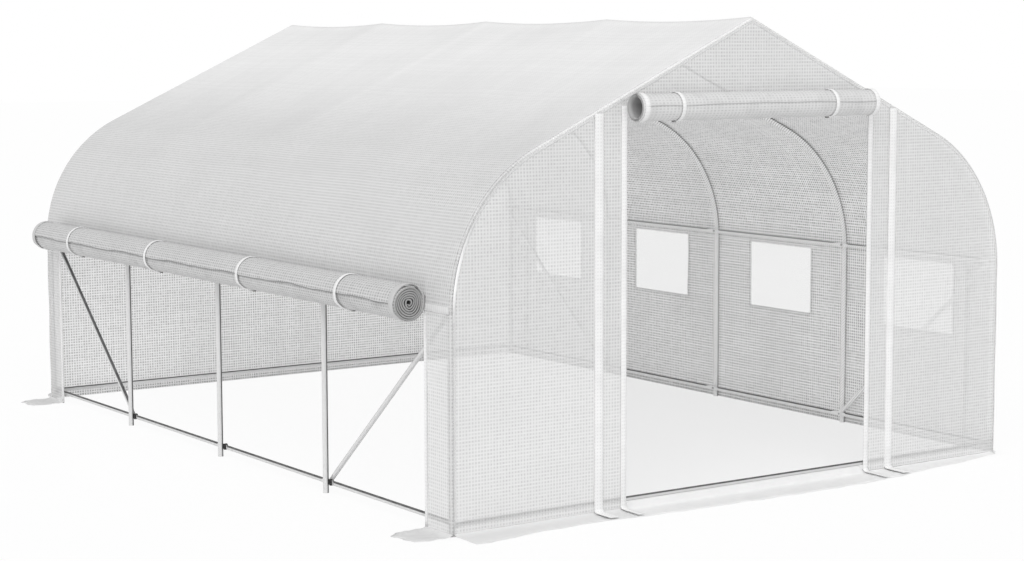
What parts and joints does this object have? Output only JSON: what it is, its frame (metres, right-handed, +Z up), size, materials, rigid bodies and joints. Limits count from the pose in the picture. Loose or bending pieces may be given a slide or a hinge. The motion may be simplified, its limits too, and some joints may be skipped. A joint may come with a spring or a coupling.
{
  "type": "polytunnel greenhouse",
  "caption": "Walk-in polytunnel greenhouse: tube hoops under a gridded sheet cover, with a rolled-up door and side wall, net windows and ground skirts.",
  "frame": {"origin": "on the ground at the middle of the plan", "axes": "+X to the right as seen from the door, +Y from the door to the back, +Z up"},
  "size_m": [3.3722, 4.3818, 2.0274],
  "materials": {
    "frame_steel": "satin galvanised and lacquered tube",
    "cover_sheet": "translucent film on a white thread grid",
    "rolled_sheet": "several layers of the gridded sheet",
    "white_tape": "matt woven tape",
    "window_net": "fine insect net"
  },
  "bodies": {
    "root": {"left_legs": "frame_steel", "right_legs": "frame_steel", "left_bends": "frame_steel", "right_bends": "frame_steel", "left_rafters": "frame_steel", "right_rafters": "frame_steel", "ridge_elbows": "frame_steel", "ridge_rails": "frame_steel", "left_side_rails": "frame_steel", "right_side_rails": "frame_steel", "left_base_rails": "frame_steel", "right_base_rails": "frame_steel", "front_base_rail": "frame_steel", "back_base_rail": "frame_steel", "left_braces": "frame_steel", "right_braces": "frame_steel", "left_roof_sheet": "cover_sheet", "right_roof_sheet": "cover_sheet", "left_shoulder_sheet": "cover_sheet", "right_shoulder_sheet": "cover_sheet", "front_left_panel": "cover_sheet", "front_right_panel": "cover_sheet", "front_gable": "cover_sheet", "back_panel": "cover_sheet", "left_front_strip": "cover_sheet", "left_back_strip": "cover_sheet", "right_front_strip": "cover_sheet", "right_back_strip": "cover_sheet", "right_wall": "cover_sheet", "front_skirt": "cover_sheet", "back_skirt": "cover_sheet", "right_skirt": "cover_sheet", "left_skirt_tabs": "cover_sheet", "left_wall_roll": "rolled_sheet", "door_roll": "rolled_sheet", "window_hems": "white_tape", "door_tapes": "white_tape", "left_opening_tapes": "white_tape", "right_wall_tapes": "white_tape", "left_roll_straps": "white_tape", "door_roll_straps": "white_tape", "window_nets": "window_net"}
  },
  "joints": []
}
